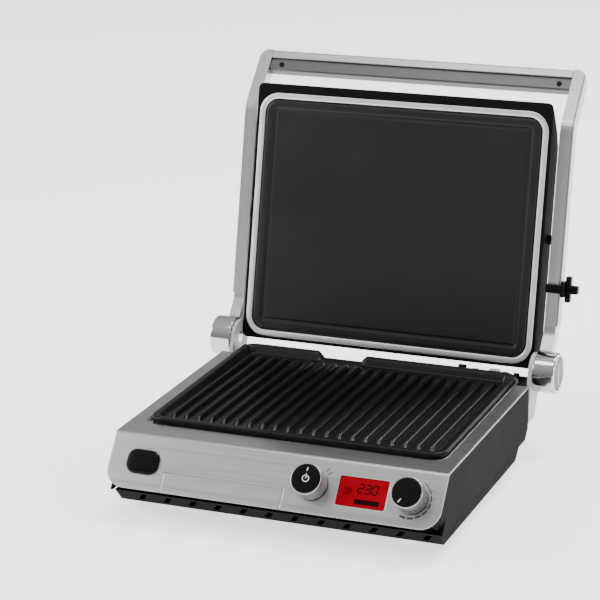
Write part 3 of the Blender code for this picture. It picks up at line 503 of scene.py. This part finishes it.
def makeUpperPlate(v):
    low, high = spanOf("griddle_plate", lidAxes)
    size, centre = (high - low)[:2], (low + high)[:2] / 2
    ringPlane = high[2] - v["rimRise"]
    thickness = high[2] - low[2]
    profile = softened(
        [(30, -thickness), (8, -thickness), (0, -thickness), (0, 0), (v["rimWidth"], 0),
         (v["rimWidth"] + 1.2, -v["grooveDepth"]), (v["grooveEnd"] - 0.8, -v["grooveDepth"]),
         (v["grooveEnd"] + 0.4, v["faceLevel"] - v["rimRise"]), (16, v["faceLevel"] - v["rimRise"]),
         (40, v["faceLevel"] - v["rimRise"])],
        (0, 1, 3.6, 3.2, 1.0, 0.9, 0.9, 0))
    grid = loft(profile, *size, v["corner"], centre) + [0, 0, ringPlane + v["rimRise"]]
    buildPiece("upperPlateFlat", [grid], lidAxes, "upper_plate", upperCoating,
               ("griddle_plate",), 60)


def makeRing(v):
    low, high = spanOf("upper_reflector", lidAxes)
    size, centre = (high - low)[:2], (low + high)[:2] / 2
    band, deep = v["band"], v["dishDepth"]
    profile = softened(
        [(26, -deep - 1), (15.2, -deep - 0.8), (11.4, -10.3), (6.5, -9.6), (6.5, -1.6), (0, -1.6), (0, 0),
         (band, 0), (band, -8.6), (12.4, -9.6), (16, -deep + 0.2), (26, -deep)],
        (1, 1, 0.5, 0.2, 0.2, 2.6, 2.6, 0.8, 1.5, 1.5))
    grid = loft(profile, *size, v["corner"], centre) + [0, 0, high[2]]
    buildPiece("upperReflectorRing", [grid], lidAxes, "lid", ringSatin,
               ("upper_reflector",), 60)


makeUpperPlate(upperPlate)
makeRing(ringBand)
print("plates made")

# right half of the tube's route as (across, along) points, and where the halves meet in front
elementShape = {"half": [(8, 238), (18, 255), (45, 264), (75, 264), (98, 254), (105, 232), (98, 210),
                         (76, 203), (50, 199), (34, 184), (34, 160), (50, 145), (78, 139), (97, 130),
                         (103, 106), (97, 84), (80, 75), (50, 76), (23, 88)],
                "dip": 96.0, "samples": 420, "fill": 0.995}


def makeElement(name, node, axes, body, v):
    # the left half mirrors the right one; the whole is fitted to the part's own span
    low, high = spanOf(node, axes)
    half = np.array(v["half"], float)
    points = np.concatenate([half, [[0.0, v["dip"]]], half[::-1] * [-1, 1]])
    path = smoothPath(points, v["samples"])
    radius = (high[2] - low[2]) / 2
    inside = (high - low)[:2] / 2 - radius
    spread = (path.max(0) - path.min(0)) / 2
    flat = (path - (path.max(0) + path.min(0)) / 2) * inside / spread + (low + high)[:2] / 2
    level = np.full(len(flat), (low[2] + high[2]) / 2)
    grid = swept(np.column_stack([flat, level]), radius * v["fill"])
    buildPiece(name, [grid], axes, body, elementSheath, (node,), 60)


makeElement("lowerElementTube", "element_lower", levelAxes, "base", elementShape)
makeElement("upperElementTube", "element_upper", lidAxes, "lid", elementShape)

dial = {"wall": 1.6, "taper": 0.7, "seat": 3.0, "bore": 3.3, "clearance": 0.3, "sunk": 0.1}
mark = {"below": 0.25, "above": 0.05}      # how far a printed mark reaches under and over its face
startMarks = {"tick": (7.6, 11.0), "tickWidth": 0.9, "ringRadius": 3.6, "ringWidth": 0.75,
              "ringSweep": (25, 335), "stroke": 0.8, "scaleReach": (19.0, 23.4), "scaleAngles": (38, 50)}
temperatureMarks = {"pointer": (8.2, 12.4), "pointerAngle": 210.0, "pointerWidth": 0.9,
                    "scaleRadius": 18.6, "thick": 2.5, "thin": 0.7, "start": 205.0, "end": 25.0, "steps": 8,
                    "gap": 4.0, "headSweep": (318, 347), "tickReach": (21.4, 23.2), "tickWidth": 0.6,
                    "tickAngles": (40, 62, 84)}


def makeDial(label, v):
    low, high = spanOf(label + "_skirt", panelAxes)
    centre, radius, base, top = (low + high)[:2] / 2, (high - low)[0] / 2 - v["sunk"], low[2], high[2]
    faceTop = spanOf(label + "_cap", panelAxes)[1][2]
    seat = top - v["seat"]
    inside = radius - v["wall"] - v["sunk"]
    skirt = softened([(v["bore"], base), (radius, base), (radius - v["taper"], top), (inside, top),
                      (inside, seat), (v["bore"], seat)], (0.5, 0.9, 0.25, 0.1))
    ring = np.concatenate([skirt, skirt[:1]])
    capRadius = radius - v["wall"] - v["clearance"]
    cap = softened([(0, seat + v["clearance"]), (capRadius, seat + v["clearance"]),
                    (capRadius, faceTop - v["sunk"]), (0, faceTop - v["sunk"])], (0.2, 1.0))
    buildPiece(label + "DialSkirt", [turned(ring, centre)], panelAxes, bodyOf(label + "_skirt"),
               skirtSteel, (label + "_skirt",), 50)
    buildPiece(label + "DialCap", [turned(cap, centre)], panelAxes, bodyOf(label + "_cap"),
               glossBlack, (label + "_cap",), 50)
    return centre, faceTop


def faceMark(name, outlines, height, body, finish, above=mark["above"]):
    # flat marks that stand a twentieth of a millimetre over their face
    grids = [slab(outline, height - mark["below"], height + above) for outline in outlines]
    buildPiece(name, grids, panelAxes, body, finish, (), 30)


def clockwise(degrees):
    # unit direction at a clock angle from straight up
    return np.array([math.sin(math.radians(degrees)), math.cos(math.radians(degrees))])


def makeStartMarks(v, centre, face):
    icon = [
        bar(centre + [0, v["tick"][0]], centre + [0, v["tick"][1]], v["tickWidth"]),
        arcBand(centre, v["ringRadius"] - v["ringWidth"], v["ringRadius"], *v["ringSweep"], 40),
        bar(centre, centre + [0, v["ringRadius"] + 1.2], v["stroke"]),
    ]
    faceMark("startDialIcon", icon, face - dial["sunk"], "start_knob", markWhite)
    near, far = v["scaleReach"]
    ticks = [bar(centre + clockwise(angle) * near, centre + clockwise(angle) * far, v["tickWidth"])
             for angle in v["scaleAngles"]]
    faceMark("startScale", ticks, panelFace, "base", markDark)


def makeTemperatureMarks(v, centre, face):
    direction = clockwise(v["pointerAngle"])
    near, far = v["pointer"]
    pointer = bar(centre + direction * near, centre + direction * far, v["pointerWidth"])
    faceMark("temperaturePointer", [pointer], face - dial["sunk"], "temp_knob", markWhite)
    # arc pieces that thin out steadily from the first to the last
    inner, steps = v["scaleRadius"], v["steps"]
    sweep = (v["end"] - v["start"]) / steps
    marks = [arcBand(centre, inner, inner + v["thick"], *v["headSweep"])]
    for step in range(steps):
        begin = v["start"] + step * sweep
        first, last = (inner + v["thick"] + (v["thin"] - v["thick"]) * (step + share) / steps
                       for share in (0, 1))
        marks.append(arcBand(centre, inner, (first, last), begin, begin + sweep + v["gap"]))
    near, far = v["tickReach"]
    marks += [bar(centre + clockwise(angle) * near, centre + clockwise(angle) * far, v["tickWidth"])
              for angle in v["tickAngles"]]
    faceMark("temperatureScale", marks, panelFace, "base", markDark)


panelFace = spanOf("drip_tray_front", panelAxes)[1][2]
makeStartMarks(startMarks, *makeDial("start", dial))
makeTemperatureMarks(temperatureMarks, *makeDial("temp", dial))
print("dials made")

display = {"figure": (5.2, 8.6), "pitch": 7.2, "stroke": 1.45, "at": (5.0, 4.0), "text": "230",
           "smallFigure": (3.0, 5.6), "smallPitch": 4.2, "smallStroke": 0.85, "smallAt": (-15.2, 0.4),
           "smallText": "08", "slant": 0.10, "barFrom": (-6.5, -11.6), "barTo": (18.6, -6.8), "lift": 0.04}
segmentsOf = {"0": "abcdef", "2": "abged", "3": "abgcd", "8": "abcdefg"}


def figureOutlines(text, at, figure, pitch, stroke, slant):
    # seven strokes per figure between six corner points, with small gaps where they meet
    width, height = figure[0] / 2, figure[1] / 2
    corners = {"a": ((-1, 1), (1, 1)), "b": ((1, 1), (1, 0)), "c": ((1, 0), (1, -1)),
               "d": ((1, -1), (-1, -1)), "e": ((-1, -1), (-1, 0)), "f": ((-1, 0), (-1, 1)),
               "g": ((-1, 0), (1, 0))}
    outlines = []
    for number, letter in enumerate(text):
        middle = np.array([at[0] + (number - (len(text) - 1) / 2) * pitch, at[1]])
        for segment in segmentsOf[letter]:
            start, end = (np.array(corner, float) * (width, height) for corner in corners[segment])
            along = (end - start) / np.linalg.norm(end - start)
            outline = bar(start + along * stroke * 0.4, end - along * stroke * 0.4, stroke)
            outline[:, 0] += slant * outline[:, 1]
            outlines.append(outline + middle)
    return outlines


def makeDisplay(v):
    low, high = spanOf("screen_lens", panelAxes)
    centre = (low + high)[:2] / 2
    outlines = figureOutlines(v["text"], centre + v["at"], v["figure"], v["pitch"], v["stroke"], v["slant"])
    outlines += figureOutlines(v["smallText"], centre + v["smallAt"], v["smallFigure"], v["smallPitch"],
                               v["smallStroke"], v["slant"])
    (left, bottom), (right, top) = centre + v["barFrom"], centre + v["barTo"]
    outlines.append(np.array([(left, bottom), (right, bottom), (right, top), (left, top)]))
    faceMark("displayFigures", outlines, high[2], "base", figureDark, v["lift"])


makeDisplay(display)

buttonShape = {"corner": 9.2, "crown": 0.5, "upperCorner": 6.7}


def makeLowerButton(v):
    low, high = spanOf("release_button_lower", panelAxes)
    size, centre = (high - low)[:2], (low + high)[:2] / 2
    profile = softened([(6, low[2]), (0, low[2]), (0, high[2] - v["crown"]), (5, high[2]), (9, high[2])],
                       (0.3, 1.6, 2.5))
    grid = loft(profile, *size, v["corner"], centre)
    buildPiece("lowerReleaseButton", [grid], panelAxes, "lower_release", buttonBlack,
               ("release_button_lower",), 60)


def makeUpperButton(v):
    low, high = spanOf("release_button_upper", lidAxes)
    size, centre = (high - low)[:2], (low + high)[:2] / 2
    profile = softened([(5, low[2]), (0, low[2] + 0.3), (0, high[2]), (5, high[2])], (1.6, 0.4))
    grid = loft(profile, *size, v["upperCorner"], centre)
    buildPiece("upperReleaseButton", [grid], lidAxes, "upper_release", buttonBlack,
               ("release_button_upper",), 60)


makeLowerButton(buttonShape)
makeUpperButton(buttonShape)

hubShape = {"bore": 6.3, "socket": 17.6, "socketDepth": 6.4, "socketFlare": (0.4, 0.8), "backDepth": 10.4,
            "edge": 1.8, "discEdge": 0.7, "lineWidth": 1.3, "lineHalf": 11.0, "lineSunk": 0.2,
            "lineLift": 0.06}


def makeHub(side, disc, v):
    sign = 1 if side == "right" else -1
    low, high = spanOf("hub_" + side, sideAxes)
    centre = (low + high)[:2] / 2
    radius = (high - low)[0] / 2
    inner, outer = (low[2], high[2]) if sign > 0 else (high[2], low[2])
    flare, fall = v["socketFlare"]
    profile = softened(
        [(0, outer - sign * v["backDepth"]), (v["bore"], outer - sign * v["backDepth"]), (v["bore"], inner),
         (radius, inner), (radius, outer), (v["socket"] + flare, outer), (v["socket"], outer - sign * fall),
         (v["socket"], outer - sign * v["socketDepth"]), (0, outer - sign * v["socketDepth"])],
        (0, 0.3, 1.4, v["edge"], 0.5, 0.3, 0.2))
    buildPiece(side + "HingeHub", [turned(profile, centre)], sideAxes, "handle_frame", hubChrome,
               ("hub_" + side,), 50)
    discLow, discHigh = spanOf(disc, sideAxes)
    discRadius = (discHigh - discLow)[0] / 2
    back, face = (discLow[2], discHigh[2]) if sign > 0 else (discHigh[2], discLow[2])
    rim = softened([(0, back), (discRadius, back), (discRadius, face), (0, face)], (0.2, v["discEdge"]))
    buildPiece(side + "HubDisc", [turned(rim, centre)], sideAxes, bodyOf(disc), hubDisc,
               (disc,), 50)
    line = bar(centre - [0, v["lineHalf"]], centre + [0, v["lineHalf"]], v["lineWidth"])
    heights = sorted((face - sign * v["lineSunk"], face + sign * v["lineLift"]))
    buildPiece(side + "HubLine", [slab(line, *heights)], sideAxes, bodyOf(disc), hubChrome,
               crease=30)


makeHub("right", "hinge_release_button", hubShape)
makeHub("left", "hub_cap_left", hubShape)
print("hubs made")

studio = {"floorHalf": 12.0, "floorColour": (0.86, 0.86, 0.865), "floorGlow": 1.5,
          "skyHorizon": 0.26, "skyTop": 0.80, "lightAim": (0.0, 0.0, 0.15)}
camera = {"azimuth": 22.084, "elevation": 17.419, "roll": -0.76, "distance": 2.4072, "lens": 140.18,
          "aim": (-0.0468, -0.0289, 0.1823)}
lights = {
    "keySoftbox": {"at": (-2.3, -1.1, 1.5), "size": 1.2, "power": 60.0},
    "panelSoftbox": {"at": (-0.5, -0.8, 2.5), "size": 0.7, "power": 9.0},
    "fillSoftbox": {"at": (2.4, -0.6, 1.1), "size": 0.9, "power": 12.0},
    "topSoftbox": {"at": (0.5, 0.7, 2.6), "size": 1.2, "power": 60.0},
    "rearSoftbox": {"at": (1.5, 2.3, 1.5), "size": 0.9, "power": 40.0},
}


def makeFloor(v):
    half = v["floorHalf"]
    mesh = bpy.data.meshes.new("studioFloor")
    corners = [(-half, -half, 0), (half, -half, 0), (half, half, 0), (-half, half, 0)]
    mesh.from_pydata(corners, [], [(0, 1, 2, 3)])
    floor = bpy.data.objects.new("studioFloor", mesh)
    bpy.context.scene.collection.objects.link(floor)
    paper = Finish("studioPaper", v["floorColour"], 0.8, 0.0, {"Emission Color": (1.0, 1.0, 1.0, 1.0),
                                                               "Emission Strength": v["floorGlow"]})
    mesh.materials.append(paper.material)


def standAt(thing, right, above, back, spot):
    # stands the thing at a spot, looking along the reverse of its back direction
    rows = np.eye(4)
    rows[:3, 0], rows[:3, 1], rows[:3, 2], rows[:3, 3] = right, above, back, spot
    thing.matrix_world = rows.T.tolist()


def makeCamera(v):
    azimuth, elevation, roll = (math.radians(v[key]) for key in ("azimuth", "elevation", "roll"))
    back = np.array([math.sin(azimuth) * math.cos(elevation), -math.cos(azimuth) * math.cos(elevation),
                     math.sin(elevation)])
    right = np.array([math.cos(azimuth), math.sin(azimuth), 0.0])
    above = np.cross(back, right)
    across = right * math.cos(roll) + above * math.sin(roll)
    upward = above * math.cos(roll) - right * math.sin(roll)
    spot = np.array(v["aim"]) + back * v["distance"]
    lensData = bpy.data.cameras.new("studioCamera")
    lensData.lens, lensData.sensor_width = v["lens"], 36.0
    viewer = bpy.data.objects.new("studioCamera", lensData)
    bpy.context.scene.collection.objects.link(viewer)
    standAt(viewer, across, upward, back, spot)
    bpy.context.scene.camera = viewer


def makeLights(table, aim):
    for name, v in table.items():
        data = bpy.data.lights.new(name, "AREA")
        data.size, data.energy = v["size"], v["power"]
        lamp = bpy.data.objects.new(name, data)
        bpy.context.scene.collection.objects.link(lamp)
        back = np.subtract(v["at"], aim)
        back /= np.linalg.norm(back)
        right = np.cross([0.0, 0.0, 1.0], back)
        right /= np.linalg.norm(right)
        standAt(lamp, right, np.cross(back, right), back, v["at"])


def makeSky(v):
    # grey that brightens from the horizon to straight up
    world = bpy.data.worlds.new("studioSky")
    world.use_nodes = True
    bpy.context.scene.world = world
    tree = world.node_tree
    kinds = ("TexCoord", "SeparateXYZ", "ValToRGB")
    spot, split, ramp = (tree.nodes.new("ShaderNode" + kind) for kind in kinds)
    tree.links.new(spot.outputs["Generated"], split.inputs[0])
    tree.links.new(split.outputs[2], ramp.inputs[0])
    for stop, level in zip(ramp.color_ramp.elements, (v["skyHorizon"], v["skyTop"])):
        stop.color = (level, level, level, 1.0)
    tree.links.new(ramp.outputs[0], tree.nodes["Background"].inputs["Color"])


makeFloor(studio)
makeCamera(camera)
makeLights(lights, studio["lightAim"])
makeSky(studio)
print("studio ready")
